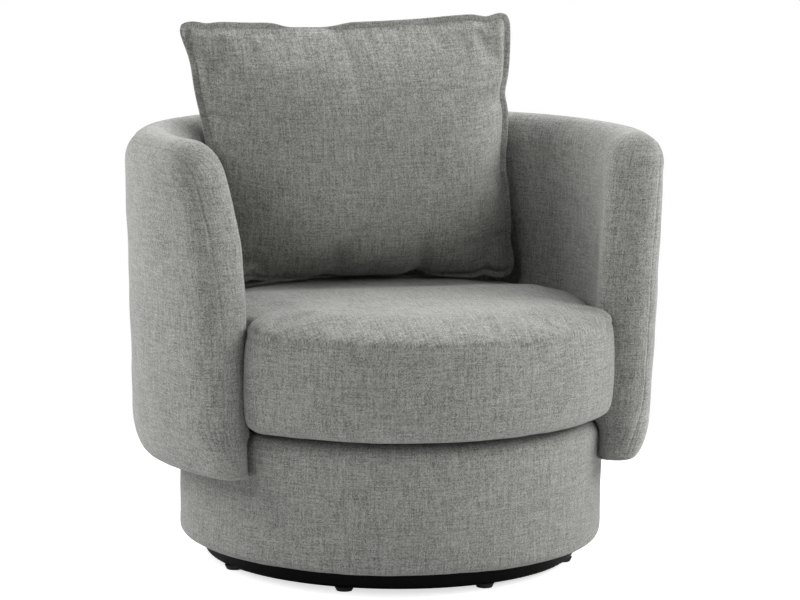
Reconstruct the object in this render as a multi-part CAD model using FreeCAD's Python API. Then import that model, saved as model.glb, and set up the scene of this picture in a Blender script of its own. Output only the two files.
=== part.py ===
"""Upholstered swivel armchair: a barrel shell round a drum, on a ball-bearing floor base.

Millimetres, +Z up, the front of the chair faces -Y. Everything is drawn round the swivel axis,
and moved as one at the end so that the origin lies on the floor under the middle of the plan.
An angle in plan is measured from the front of the chair, towards +X.
"""
import FreeCAD
import Part
import math
import os

Vector = FreeCAD.Vector
AXIS_FOOT = Vector(0, 0, 0)
UP = Vector(0, 0, 1)

# Cloth, foam and the clearances between pieces
fabric = 2.0            # thickness of every woven cover
soft_gap = 0.4          # between a cover and the foam in it
seat_gap = 0.3          # between a soft piece and what it lies on or against
running = 0.05          # radial clearance of a turning fit
bolt_clearance = 0.3    # radial clearance of a bolt in its hole
overcut = 1.0           # how far a cutting tool runs past the face it opens

# Floor ring, glides and arms
ring_setback = 36.0     # from the drum's side in to the ring's
ring_width = 26.0
ring_height = 22.0
ring_wall = 2.0
ring_corner = 5.0
glide_count = 8
base_turn = 14.0        # how far the base stands turned from the chair above it
glide_height = 6.0
glide_r = 14.0
glide_foot_r = 11.0
glide_stem_r = 4.0
glide_stem_length = 6.0
arm_count = 4
arm_width = 38.0
arm_height = 14.0
arm_inner_r = 58.0

# Ball-bearing swivel
plate_r = 150.0
plate_thickness = 4.0
plate_gap = 5.0
ball_r = 5.0
ball_count = 12
race_r = 112.0
cage_width = 16.0
cage_thickness = 1.6
cage_clearance = 0.2
pivot_r = 12.0
pivot_bore_r = 8.0
pivot_head_r = 18.0
pivot_head = 2.0
base_bolt_r = 3.0
base_bolt_circle = 80.0
base_bolt_head_r = 6.0
base_bolt_head = 3.4
base_nut_r = 5.8
base_nut = 5.0
base_bolt_end = 1.0     # thread that stands out of the nut
screw_count = 8
screw_r = 2.5
screw_edge = 12.0       # from the plate's edge in to the screws
screw_head_r = 5.0
screw_head = 2.6
screw_length = 15.0

# Drum
drum_r = 305.0
drum_height = 177.0
drum_edge = 25.0
drum_underwrap = 5.0    # foam and cover below the bottom board
drum_pad = 6.0          # foam over the deck ring
drum_padding = 15.0     # foam and cover round the side board
board = 15.0
board_bore_r = 20.0
side_board = 4.0
underwrap = 21.0        # how far the cover turns in under the bottom board
deck_ring_width = 86.0
rib_count = 6
rib_setback = 5.0       # from the deck ring's bore out to the ribs
dust_cloth = 1.0
dust_clearance = 8.0    # between the swivel plate and the dust cover
strap_width = 50.0
strap_pitch = 78.0
strap_count = 5
strap_thickness = 2.0
deck_cloth_margin = 26.0    # from the boards' edge in to the deck cloth
deck_cover_lap = 20.0       # how far the drum cover laps over the deck cloth

# Barrel shell
shell_overhang = 68.2   # from the drum's side out to the wall's, at the deck
shell_flare = 0.030     # growth of the radius with height
shell_wall = 84.0
shell_drop = 57.0       # how far the wall hangs down past the deck
shell_height = 457.3
crest_height = 46.0     # height of the rounded rim
roll_height = 58.0      # height of the rolled lower edge
roll_depth = 22.4
nose_angle = 57.1       # from the front of the chair to the tip of each arm
nose_corner_height = 154.0
nose_corner_depth = 129.0
seam_inset = 13.4       # seam of the outer panel, inside the outer face of the wall
seam_under = 16.0       # the same seam on the underside, outside the drum

# Frame inside the shell
frame_stand = 3.0       # between the drum's side and the frame
rail_padding = 17.0     # foam over the outer side of the bottom rail
frame_nose = 12.9       # degrees from the tip of an arm back to the frame's end
frame_end_gap = 0.2     # degrees between the frame's ends and the foam
frame_below_rim = 50.0
bottom_rail_height = 30.0
top_rail_height = 18.0
post_angles = (73.0, 96.0, 122.0, 151.0, 180.0)
post_width = 40.0
skin_board = 3.0
shell_bolt_angles = (90.0, 150.0, 210.0, 270.0)
shell_bolt_r = 4.0
shell_bolt_head_r = 6.5
shell_bolt_head = 5.0
shell_washer_r = 12.0
shell_washer = 2.0
insert_r = 6.5
insert_end = 6.0        # wood left beyond the insert
insert_recess = 0.5

# Seat cushion
seat_overhang = 25.0    # from the drum's side out to the front of the cushion
seat_side_gap = 3.1     # between the cushion and the inside of the wall
seat_band = 138.5       # height of its side, up to the top seam
seat_crown = 28.0       # rise of its top above that seam
seat_front_turn = 7.1   # degrees from the tip of an arm forward to the end of the round front
seat_corner_turn = 1.7
seat_corner_in = 13.0   # how much nearer to the swivel axis its front corners lie
seat_back_turn = 3.4    # degrees from the tip of an arm back to where the cushion is narrow

# Pillow
pillow_width_top = 507.0
pillow_width_bottom = 467.0
pillow_height = 382.0
pillow_thickness = 152.0
pillow_corner_r = 22.0
pillow_pull = 17.0      # how far the sides draw in between the corners
pillow_swell = 24.0     # how far the outline swells out again towards the crown
pillow_flange = 9.5
pillow_flange_thickness = 3.0
pillow_lean = 10.7
pillow_stand = 0.5      # from the top of the cushion up to its lower seam
pillow_touch = 0.4      # where it touches the shell, as a share of its width from its middle
pillow_rear = 53.3      # its back, behind its middle, where it touches the shell


# Levels and radii that follow from the sizes above
ring_r = drum_r - ring_setback
screw_circle = plate_r - screw_edge
side_board_r = drum_r - drum_padding
board_r = side_board_r - side_board
underwrap_r = board_r - underwrap
deck_bore_r = board_r - deck_ring_width
rib_inner_r = deck_bore_r + rib_setback
dust_inner_r = plate_r + dust_clearance
deck_cloth_r = board_r - deck_cloth_margin
deck_cover_lip_r = deck_cloth_r - deck_cover_lap
ring_bottom = glide_height
ring_top = ring_bottom + ring_height
arm_bottom = ring_top - arm_height
lower_plate_top = ring_top + plate_thickness
ball_level = lower_plate_top + plate_gap / 2
upper_plate_bottom = lower_plate_top + plate_gap
board_bottom = upper_plate_bottom + plate_thickness
drum_bottom = board_bottom - drum_underwrap
drum_top = drum_bottom + drum_height
deck_top = drum_top - fabric - drum_pad
deck_bottom = deck_top - board
board_top = board_bottom + board
arm_start = base_turn + 180.0 / arm_count
shell_r = drum_r + shell_overhang
shell_bottom = drum_top - shell_drop
shell_top = shell_bottom + shell_height
seam_offset = shell_wall / 2 - seam_inset
frame_r = drum_r + frame_stand
frame_bottom = shell_bottom + fabric + soft_gap
frame_top = shell_top - frame_below_rim
frame_angle = nose_angle + frame_nose
frame_sweep = 360.0 - 2 * frame_angle
rail_top = frame_bottom + bottom_rail_height
shell_bolt_level = frame_bottom + bottom_rail_height / 2
seat_bottom = drum_top + seat_gap
seat_seam = seat_bottom + seat_band
seat_top = seat_seam + seat_crown
seat_front_r = drum_r + seat_overhang
seat_corner_r = seat_front_r - seat_corner_in
seat_back_r = shell_r - shell_wall - seat_side_gap
seat_front_angle = nose_angle - seat_front_turn
seat_corner_angle = nose_angle - seat_corner_turn
seat_back_angle = nose_angle + seat_back_turn


def quarter_ellipse(reach):
    """How far an ellipse of unit size has curved away at this share of its reach."""
    return 1 - math.sqrt(max(0.0, 1 - reach ** 2))


def shell_outer_r(z):
    """Outside radius of the wall, without the rounded rim and the rolled lower edge."""
    return shell_r + (z - drum_top) * shell_flare


def shell_roll(z):
    """How far the rolled lower edge has drawn the outside of the wall in at height z."""
    return quarter_ellipse(max(0.0, shell_bottom + roll_height - z) / roll_height) * roll_depth


frame_depth = (shell_outer_r(frame_bottom) - shell_roll(frame_bottom) - fabric - soft_gap
               - rail_padding - frame_r)
insert_length = frame_depth - insert_end
pillow_middle = seat_top + pillow_stand + pillow_height / 2 * math.cos(math.radians(pillow_lean))
pillow_back = math.sqrt((shell_outer_r(pillow_middle) - shell_wall) ** 2
                        - (pillow_touch * (pillow_width_top + pillow_width_bottom) / 2) ** 2) - pillow_rear


def polar(radius, angle, z=0.0):
    a = math.radians(angle)
    return Vector(radius * math.sin(a), -radius * math.cos(a), z)


def arc(start, middle, end):
    return Part.Arc(start, middle, end).toShape()


def cylinder(radius, z_low, z_high):
    return Part.makeCylinder(radius, z_high - z_low, Vector(0, 0, z_low))


def tube(inner_r, outer_r, z_low, z_high):
    return cylinder(outer_r, z_low, z_high).cut(cylinder(inner_r, z_low, z_high))


def revolved(outline, start=0.0, sweep=360.0):
    """A solid of revolution from (radius, height) corners, swept from one plan angle."""
    corners = [polar(radius, start, z) for radius, z in outline]
    face = Part.Face(Part.makePolygon(corners + corners[:1]))
    return face.revolve(AXIS_FOOT, UP, sweep)


def around(solid, count, start=0.0):
    """Copies of a solid, evenly spaced round the swivel axis."""
    return [turned(solid, start + index * 360.0 / count) for index in range(count)]


def turned(solid, angle):
    copy = solid.copy()
    copy.rotate(AXIS_FOOT, UP, angle)
    return copy


def cut_all(solid, tools):
    return solid.cut(Part.makeCompound(tools))


def rounded_block(radius, z_low, z_high, edge):
    """A disc with its upper and lower edges rounded."""
    slant = edge * (1 - math.sqrt(0.5))
    corners = [
        (0.0, z_low), (radius - edge, z_low), (radius - slant, z_low + slant),
        (radius, z_low + edge), (radius, z_high - edge),
        (radius - slant, z_high - slant), (radius - edge, z_high), (0.0, z_high),
    ]
    p = [polar(r, 0.0, z) for r, z in corners]
    edges = [
        Part.makeLine(p[0], p[1]), arc(p[1], p[2], p[3]), Part.makeLine(p[3], p[4]),
        arc(p[4], p[5], p[6]), Part.makeLine(p[6], p[7]), Part.makeLine(p[7], p[0]),
    ]
    return Part.Face(Part.Wire(edges)).revolve(AXIS_FOOT, UP, 360)


# Floor base

def glide_stem(radius, height):
    return cylinder(radius, glide_height, glide_height + height).translated(
        Vector(0, -(ring_r - ring_width / 2), 0))


def base_ring():
    outer = tube(ring_r - ring_width, ring_r, ring_bottom, ring_top)
    outer = outer.makeFillet(ring_corner, [e for e in outer.Edges if len(e.Vertexes) == 1])
    bore = tube(ring_r - ring_width + ring_wall, ring_r - ring_wall,
                ring_bottom + ring_wall, ring_top - ring_wall)
    holes = around(glide_stem(glide_stem_r + running, ring_wall), glide_count, base_turn)
    return cut_all(outer.cut(bore), holes)


def glides():
    foot = Part.makeCone(glide_foot_r, glide_r, glide_height)
    foot.translate(Vector(0, -(ring_r - ring_width / 2), 0))
    stem = glide_stem(glide_stem_r, glide_stem_length)
    return around(foot.fuse(stem), glide_count, base_turn)


def base_bolt_axis(radius, z_low, z_high):
    return cylinder(radius, z_low, z_high).translated(Vector(0, -base_bolt_circle, 0))


def base_arms():
    length = ring_r - arm_inner_r
    bar = Part.makeBox(arm_width, length, arm_height,
                       Vector(-arm_width / 2, -ring_r, arm_bottom))
    bar = bar.common(cylinder(ring_r - ring_width, arm_bottom, ring_top))
    bar = bar.cut(base_bolt_axis(base_bolt_r + bolt_clearance, arm_bottom, ring_top))
    return around(bar, arm_count, arm_start)


def race():
    """The ring of space that the balls roll in."""
    return Part.makeTorus(race_r, ball_r + running, Vector(0, 0, ball_level))


def lower_swivel_plate():
    plate = cylinder(plate_r, ring_top, lower_plate_top)
    plate = plate.cut(cylinder(pivot_r, ring_top, lower_plate_top)).cut(race())
    hole = base_bolt_axis(base_bolt_r + bolt_clearance, ring_top, lower_plate_top)
    return cut_all(plate, around(hole, arm_count, arm_start))


def swivel_balls():
    ball = Part.makeSphere(ball_r, Vector(0, -race_r, ball_level))
    return around(ball, ball_count)


def ball_cage():
    cage = tube(race_r - cage_width / 2, race_r + cage_width / 2,
                ball_level - cage_thickness / 2, ball_level + cage_thickness / 2)
    window = Part.makeSphere(ball_r + cage_clearance, Vector(0, -race_r, ball_level))
    return cut_all(cage, around(window, ball_count))


def centre_pivot():
    top = board_bottom + running
    pin = cylinder(pivot_r, ring_top, top)
    foot = cylinder(pivot_head_r, ring_top - pivot_head, ring_top)
    head = cylinder(pivot_head_r, top, top + pivot_head)
    bore = cylinder(pivot_bore_r, ring_top - pivot_head, top + pivot_head)
    return pin.fuse([foot, head]).cut(bore)


def base_bolts():
    head = base_bolt_axis(base_bolt_head_r, lower_plate_top, lower_plate_top + base_bolt_head)
    shank = base_bolt_axis(base_bolt_r, arm_bottom - base_nut - base_bolt_end, lower_plate_top)
    return around(head.fuse(shank), arm_count, arm_start)


def base_nuts():
    hexagon = [Vector(0, -base_bolt_circle, arm_bottom - base_nut)
               + polar(base_nut_r, 60.0 * corner) for corner in range(7)]
    nut = Part.Face(Part.makePolygon(hexagon)).extrude(Vector(0, 0, base_nut))
    nut = nut.cut(base_bolt_axis(base_bolt_r, arm_bottom - base_nut, arm_bottom))
    return around(nut, arm_count, arm_start)


# Turning half of the swivel

def screw_axis(radius, z_low, z_high):
    return cylinder(radius, z_low, z_high).translated(Vector(0, -screw_circle, 0))


def upper_swivel_plate():
    plate = cylinder(plate_r, upper_plate_bottom, board_bottom)
    plate = plate.cut(cylinder(pivot_r + running, upper_plate_bottom, board_bottom)).cut(race())
    hole = screw_axis(screw_r + bolt_clearance, upper_plate_bottom, board_bottom)
    return cut_all(plate, around(hole, screw_count))


def swivel_screws():
    head = screw_axis(screw_head_r, upper_plate_bottom - screw_head, upper_plate_bottom)
    shank = screw_axis(screw_r, upper_plate_bottom, upper_plate_bottom + screw_length)
    return around(head.fuse(shank), screw_count)


# Drum

def drum_bottom_board():
    disc = cylinder(board_r, board_bottom, board_top)
    disc = disc.cut(cylinder(board_bore_r, board_bottom, board_top))
    hole = screw_axis(screw_r, board_bottom, upper_plate_bottom + screw_length)
    return cut_all(disc, around(hole, screw_count))


def drum_ribs():
    rib = Part.makeBox(board, board_r - rib_inner_r, deck_bottom - board_top,
                       Vector(-board / 2, -board_r, board_top))
    rib = rib.common(cylinder(board_r, board_top, deck_bottom))
    return around(rib, rib_count)


def drum_deck_ring():
    return tube(deck_bore_r, board_r, deck_bottom, deck_top)


def shell_bolt_axes(radius, inner_r, outer_r):
    """Round bars along the bolts that hold the shell to the drum."""
    bars = []
    for angle in shell_bolt_angles:
        start = polar(inner_r, angle, shell_bolt_level)
        bars.append(Part.makeCylinder(radius, outer_r - inner_r, start, polar(1.0, angle)))
    return bars


def bolt_holes():
    return shell_bolt_axes(shell_bolt_r + bolt_clearance, board_r - shell_washer, shell_r)


def drum_side_board():
    band = tube(board_r, side_board_r, board_bottom, deck_top)
    return cut_all(band, bolt_holes())


def drum_foam():
    inset = fabric + soft_gap
    pad = rounded_block(drum_r - inset, drum_bottom + inset, drum_top - inset, drum_edge - inset)
    core = cylinder(side_board_r + seat_gap, board_bottom, deck_top)
    above = cylinder(deck_cloth_r + seat_gap, deck_top, drum_top)
    below = cylinder(underwrap_r, drum_bottom, board_bottom)
    return cut_all(pad.cut(core.fuse([above, below])), bolt_holes())


def drum_cover():
    skin = rounded_block(drum_r, drum_bottom, drum_top, drum_edge).cut(
        rounded_block(drum_r - fabric, drum_bottom + fabric, drum_top - fabric,
                      drum_edge - fabric))
    above = cylinder(deck_cover_lip_r, drum_top - 2 * fabric, drum_top)
    below = cylinder(underwrap_r, drum_bottom, drum_bottom + 2 * fabric)
    return cut_all(skin.cut(above.fuse(below)), bolt_holes())


def dust_cover():
    return tube(dust_inner_r, underwrap_r - seat_gap, board_bottom - dust_cloth, board_bottom)


def straps(level):
    """Flat straps across the deck, cut to the chord that the deck ring gives them."""
    made = []
    for index in range(strap_count):
        middle = (index - (strap_count - 1) / 2) * strap_pitch
        far_edge = abs(middle) + strap_width / 2
        half = math.sqrt((deck_cloth_r - 2 * fabric) ** 2 - far_edge ** 2)
        made.append(Part.makeBox(strap_width, 2 * half, strap_thickness,
                                 Vector(middle - strap_width / 2, -half, level)))
    return made


def webbing_front_to_back():
    return straps(deck_top)


def webbing_side_to_side():
    return [turned(strap, 90.0) for strap in straps(deck_top + strap_thickness)]


def deck_cloth():
    return cylinder(deck_cloth_r, deck_top + 2 * strap_thickness, drum_top - fabric)


# Barrel shell

def shell_middle_r(z):
    return shell_outer_r(z) - shell_wall / 2


def shell_section(z, inset, level):
    """The C of the wall in plan at height z, drawn at the given level and drawn in by an inset."""
    rim = max(0.0, z - (shell_top - crest_height)) / crest_height
    thin = quarter_ellipse(rim) * shell_wall / 2
    outer_r = shell_outer_r(z) - thin - shell_roll(z) - inset
    inner_r = shell_outer_r(z) - shell_wall + thin + inset
    middle_r = (outer_r + inner_r) / 2
    nose_r = (outer_r - inner_r) / 2
    corner = max(0.0, z - (shell_top - nose_corner_height)) / nose_corner_height
    back = quarter_ellipse(corner) * nose_corner_depth + inset + nose_r
    angle = nose_angle + math.degrees(back / middle_r)

    def nose_point(turn, side):
        """A point of the nose's half circle: 0 at the outer wall, 90 at the tip, 180 inside."""
        t = math.radians(turn)
        forward = polar(nose_r * math.sin(t), angle - 90.0)
        point = polar(middle_r + nose_r * math.cos(t), angle, level) + forward
        return Vector(side * point.x, point.y, point.z)

    def wall_arc(radius, side):
        middle = polar(radius, (angle + 180.0) / 2, level)
        return [Vector(side * middle.x, middle.y, level), polar(radius, 180.0, level)]

    edges = []
    for side in (1, -1):
        out, out_tip, tip, in_tip, inside = [
            nose_point(turn, side) for turn in (0, 45, 90, 135, 180)]
        outer_mid, outer_back = wall_arc(outer_r, side)
        inner_mid, inner_back = wall_arc(inner_r, side)
        run = [arc(outer_back, outer_mid, out), arc(out, out_tip, tip),
               arc(tip, in_tip, inside), arc(inside, inner_mid, inner_back)]
        edges += run
    return Part.Wire(Part.__sortEdges__(edges))


def shell_heights():
    """Heights of the sections: close together where the edges curve, wide apart between."""
    rolled = [shell_bottom + roll_height * (1 - math.cos(math.radians(a))) for a in
              (12, 26, 42, 60, 84)]
    wall = [shell_bottom + roll_height * 1.6, (shell_bottom + shell_top) / 2]
    corner = [shell_top - nose_corner_height * share for share in (0.95, 0.72, 0.52)]
    rim = [shell_top - crest_height * (1 - math.sin(math.radians(a))) for a in
           (8, 26, 42, 56, 68, 79)]
    return [shell_bottom] + rolled + wall + corner + rim


def shell_form(inset):
    """The whole padded wall, drawn in by an inset on every side."""
    height = shell_top - shell_bottom
    sections = []
    for z in shell_heights():
        level = shell_bottom + inset + (z - shell_bottom) * (height - 2 * inset) / height
        sections.append(shell_section(z, inset, level))
    form = Part.makeLoft(sections, True, False)
    return form.cut(cylinder(drum_r + seat_gap + inset, 0.0, drum_top + seat_gap + inset))


def outer_panel_space():
    """All that lies outside the seam between the two shell covers."""
    far = 2 * shell_r
    turn_in = shell_bottom + roll_height
    low = shell_bottom - fabric
    return revolved([
        (far, low), (drum_r + seam_under, low),
        (shell_middle_r(turn_in), shell_bottom + roll_height / 4),
        (shell_middle_r(turn_in) + seam_offset, turn_in + roll_height / 2),
        (shell_middle_r(shell_top) + seam_offset, shell_top), (far, shell_top)])


def shell_skin():
    return shell_form(0.0).cut(shell_form(fabric))


def shell_inner_cover():
    return cut_all(shell_skin().cut(outer_panel_space()), bolt_holes())


def shell_outer_cover():
    return shell_skin().common(outer_panel_space())


def frame_inner_r(z):
    return frame_r + (z - shell_bottom) * shell_flare


def frame_part(depth_low, depth_high, z_low, z_high, start, sweep):
    """A piece of the frame, leaning with the wall, between two depths into it."""
    low = frame_inner_r(z_low)
    high = frame_inner_r(z_high)
    return revolved([(low + depth_low, z_low), (low + depth_high, z_low),
                     (high + depth_high, z_high), (high + depth_low, z_high)], start, sweep)


def shell_bottom_rail():
    rail = revolved([(frame_r, frame_bottom), (frame_r + frame_depth, frame_bottom),
                     (frame_r + frame_depth, rail_top), (frame_r, rail_top)],
                    frame_angle, frame_sweep)
    return cut_all(rail, shell_bolt_axes(insert_r, frame_r - overcut, frame_r + frame_depth))


def shell_posts():
    angles = sorted(set(post_angles) | {360.0 - angle for angle in post_angles})
    made = []
    for angle in angles:
        half = math.degrees(post_width / 2 / (frame_r + frame_depth / 2))
        centre = min(max(angle, frame_angle + half), 360.0 - frame_angle - half)
        made.append(frame_part(0.0, frame_depth, rail_top, frame_top - top_rail_height,
                               centre - half, 2 * half))
    return made


def shell_top_rail():
    return frame_part(0.0, frame_depth, frame_top - top_rail_height, frame_top,
                      frame_angle, frame_sweep)


def shell_inner_board():
    return frame_part(-skin_board, 0.0, drum_top + 2 * fabric, frame_top,
                      frame_angle, frame_sweep)


def shell_outer_board():
    return frame_part(frame_depth, frame_depth + skin_board, rail_top, frame_top,
                      frame_angle, frame_sweep)


def frame_space():
    """The hollow in the foam that the frame fills, open to the drum and downwards."""
    turn = drum_top + 2 * fabric
    lean = frame_top + seat_gap
    inner = frame_inner_r(turn) - skin_board - seat_gap
    return revolved([
        (drum_r - 2 * fabric, 0.0), (drum_r - 2 * fabric, turn), (inner, turn),
        (frame_inner_r(lean) - skin_board - seat_gap, lean),
        (frame_inner_r(lean) + frame_depth + skin_board + seat_gap, lean),
        (frame_inner_r(rail_top) + frame_depth + skin_board + seat_gap, rail_top),
        (frame_r + frame_depth + seat_gap, rail_top), (frame_r + frame_depth + seat_gap, 0.0),
    ], frame_angle - frame_end_gap, frame_sweep + 2 * frame_end_gap)


def shell_foam():
    return shell_form(fabric + soft_gap).cut(frame_space())


def shell_bolts():
    head_r = board_r - shell_washer
    heads = shell_bolt_axes(shell_bolt_head_r, head_r - shell_bolt_head, head_r)
    shanks = shell_bolt_axes(shell_bolt_r, head_r, frame_r + insert_length)
    return [head.fuse(shank) for head, shank in zip(heads, shanks)]


def shell_washers():
    discs = shell_bolt_axes(shell_washer_r, board_r - shell_washer, board_r)
    holes = shell_bolt_axes(shell_bolt_r + bolt_clearance, board_r - shell_washer, board_r)
    band = cylinder(board_r, board_bottom, deck_top)
    return [disc.cut(hole).common(band) for disc, hole in zip(discs, holes)]


def shell_inserts():
    outer = shell_bolt_axes(insert_r, frame_r + insert_recess, frame_r + insert_length)
    bores = shell_bolt_axes(shell_bolt_r + running, frame_r, frame_r + insert_length)
    return [sleeve.cut(bore) for sleeve, bore in zip(outer, bores)]


# Seat cushion

def seat_section(draw_in, level):
    """Plan of the cushion: round in front, narrower where it passes between the arms."""
    front_r = seat_front_r - draw_in
    corner_r = seat_corner_r - draw_in
    back_r = seat_back_r - draw_in
    squeeze = draw_in / seat_back_r
    front_angle = seat_front_angle - math.degrees(squeeze) / 4
    corner_angle = seat_corner_angle - math.degrees(squeeze) / 8
    edges = []
    for side in (1, -1):
        def at(radius, angle):
            point = polar(radius, angle, level)
            return Vector(side * point.x, point.y, level)
        nose = at((front_r * 2 + corner_r) / 3, (front_angle + 2 * corner_angle) / 3)
        edges += [
            arc(at(front_r, 0.0), at(front_r, front_angle / 2), at(front_r, front_angle)),
            arc(at(front_r, front_angle), nose, at(corner_r, corner_angle)),
            Part.makeLine(at(corner_r, corner_angle), at(back_r, seat_back_angle)),
            arc(at(back_r, seat_back_angle), at(back_r, (seat_back_angle + 180.0) / 2),
                at(back_r, 180.0)),
        ]
    return Part.Wire(Part.__sortEdges__(edges))


def seat_form(inset):
    """The cushion: a bulging side band up to the top seam, and a crowned top above it."""
    band = [(0.0, 0.30), (0.012, 0.20), (0.045, 0.123), (0.100, 0.061), (0.180, 0.022),
            (0.320, 0.0), (0.540, -0.011), (0.780, -0.004), (1.0, 0.022)]
    crown = [(0.0, 0.0), (0.30, 0.028), (0.55, 0.081), (0.75, 0.165), (0.89, 0.284),
             (0.97, 0.418), (1.0, 0.560)]
    low = seat_bottom + inset
    high = seat_top - inset
    side = [seat_section(draw_in * seat_band + inset, low + share * (seat_seam - low))
            for share, draw_in in band]
    edge = band[-1][1] * seat_band + inset
    top = [seat_section(draw_in * seat_back_r + edge, seat_seam + share * (high - seat_seam))
           for share, draw_in in crown]
    return Part.makeLoft(side, True, False).fuse(Part.makeLoft(top, True, False))


def seat_cover():
    return seat_form(0.0).cut(seat_form(fabric))


def seat_foam():
    return seat_form(fabric + soft_gap)


# Pillow

def pillow_place(u, v, t):
    """From the pillow's own width, height and thickness to its place, leaning back."""
    lean = math.radians(pillow_lean)
    y = pillow_back + v * math.sin(lean) - t * math.cos(lean)
    z = pillow_middle + v * math.cos(lean) + t * math.sin(lean)
    return Vector(u, y, z)


def pillow_section(draw_in, depth, bulge, corner):
    """Outline of the pillow at one depth: four drawn-in sides and four rounded corners."""
    half_high = pillow_height / 2 - draw_in
    top = pillow_width_top / 2 - draw_in
    bottom = pillow_width_bottom / 2 - draw_in

    def place(u, v):
        return pillow_place(u, v, depth)

    edges = []
    for side in (1, -1):
        inner = corner * (1 - math.sqrt(0.5))
        right_top = (side * top, half_high - corner)
        right_low = (side * bottom, corner - half_high)
        top_right = (side * (top - corner), half_high)
        low_right = (side * (bottom - corner), -half_high)
        edges += [
            arc(place(*right_low), place(side * ((top + bottom) / 2 + bulge), 0.0),
                place(*right_top)),
            arc(place(*right_top), place(side * (top - inner), half_high - inner),
                place(*top_right)),
            arc(place(*low_right), place(side * (bottom - inner), inner - half_high),
                place(*right_low)),
        ]
    edges.append(arc(place(top - corner, half_high), place(0.0, half_high + bulge / 2),
                     place(corner - top, half_high)))
    edges.append(arc(place(bottom - corner, -half_high), place(0.0, -half_high - bulge / 2),
                     place(corner - bottom, -half_high)))
    return Part.Wire(Part.__sortEdges__(edges))


def pillow_form(inset):
    """Two crowned faces that meet at a thin edge."""
    crown = [(0.0, 0.0), (0.20, 0.037), (0.38, 0.094), (0.56, 0.183), (0.72, 0.298),
             (0.86, 0.450), (0.952, 0.623), (0.991, 0.780), (1.0, 0.900)]
    steps = [(-share, draw_in) for share, draw_in in reversed(crown[1:])] + crown
    sections = []
    for share, reach in steps:
        depth = share * (pillow_thickness / 2 - inset)
        rounding = share ** 2
        draw_in = reach * pillow_height / 2
        half_high = pillow_height / 2 - draw_in
        bulge = pillow_swell * (1 - reach) * rounding - pillow_pull * (1 - rounding)
        round_r = 0.8 * half_high
        corner = pillow_corner_r + (round_r - pillow_corner_r) * rounding - inset
        sections.append(pillow_section(draw_in + inset, depth, bulge, corner))
    return Part.makeLoft(sections, True, False)


def seat_print():
    """The cushion's upper part, a little larger, which the pillow rests on."""
    return seat_form(-seat_gap)


def pillow_cover():
    return pillow_form(0.0).cut(pillow_form(fabric)).cut(seat_print())


def pillow_fill():
    return pillow_form(fabric + soft_gap).cut(seat_print())


def flange_slab(draw_in):
    half = pillow_flange_thickness / 2
    outline = [pillow_section(draw_in, depth, -pillow_pull, pillow_corner_r - draw_in / 2)
               for depth in (-half, half)]
    return Part.makeLoft(outline, True, True)


def pillow_edge():
    slab = flange_slab(-pillow_flange)
    return slab.cut(pillow_form(-soft_gap)).cut(seat_print())


nodes = {
    "base_ring": base_ring,
    "base_arms": base_arms,
    "glides": glides,
    "lower_swivel_plate": lower_swivel_plate,
    "swivel_balls": swivel_balls,
    "ball_cage": ball_cage,
    "centre_pivot": centre_pivot,
    "base_bolts": base_bolts,
    "base_nuts": base_nuts,
    "upper_swivel_plate": upper_swivel_plate,
    "swivel_screws": swivel_screws,
    "drum_bottom_board": drum_bottom_board,
    "drum_ribs": drum_ribs,
    "drum_deck_ring": drum_deck_ring,
    "drum_side_board": drum_side_board,
    "drum_foam": drum_foam,
    "drum_cover": drum_cover,
    "dust_cover": dust_cover,
    "webbing_front_to_back": webbing_front_to_back,
    "webbing_side_to_side": webbing_side_to_side,
    "deck_cloth": deck_cloth,
    "shell_bottom_rail": shell_bottom_rail,
    "shell_posts": shell_posts,
    "shell_top_rail": shell_top_rail,
    "shell_inner_board": shell_inner_board,
    "shell_outer_board": shell_outer_board,
    "shell_foam": shell_foam,
    "shell_inner_cover": shell_inner_cover,
    "shell_outer_cover": shell_outer_cover,
    "shell_bolts": shell_bolts,
    "shell_washers": shell_washers,
    "shell_inserts": shell_inserts,
    "seat_foam": seat_foam,
    "seat_cover": seat_cover,
    "pillow_fill": pillow_fill,
    "pillow_cover": pillow_cover,
    "pillow_edge": pillow_edge,
}

os.makedirs("parts", exist_ok=True)
shell_reach = shell_outer_r(shell_top - crest_height)
to_origin = Vector(0, (seat_front_r - shell_reach) / 2, 0)
for name, make in nodes.items():
    made = make()
    shape = Part.makeCompound(made) if isinstance(made, list) else made
    shape.translate(to_origin)
    shape.exportStep(os.path.join("parts", name + ".step"))
    box = shape.BoundBox
    print(f"{name:24s} solids {len(shape.Solids):3d} valid {shape.isValid()} volume {shape.Volume:12.0f}"
          f"  x {box.XMin:7.1f} {box.XMax:7.1f}  y {box.YMin:7.1f} {box.YMax:7.1f}"
          f"  z {box.ZMin:6.1f} {box.ZMax:6.1f}")
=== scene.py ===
"""Looks of the upholstered swivel armchair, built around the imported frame.

Lengths are in metres, angles in degrees, and the front of the chair is towards -Y.
"""
import bmesh
import bpy
import math
import numpy as np
from mathutils import Matrix, Vector, noise


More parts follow.
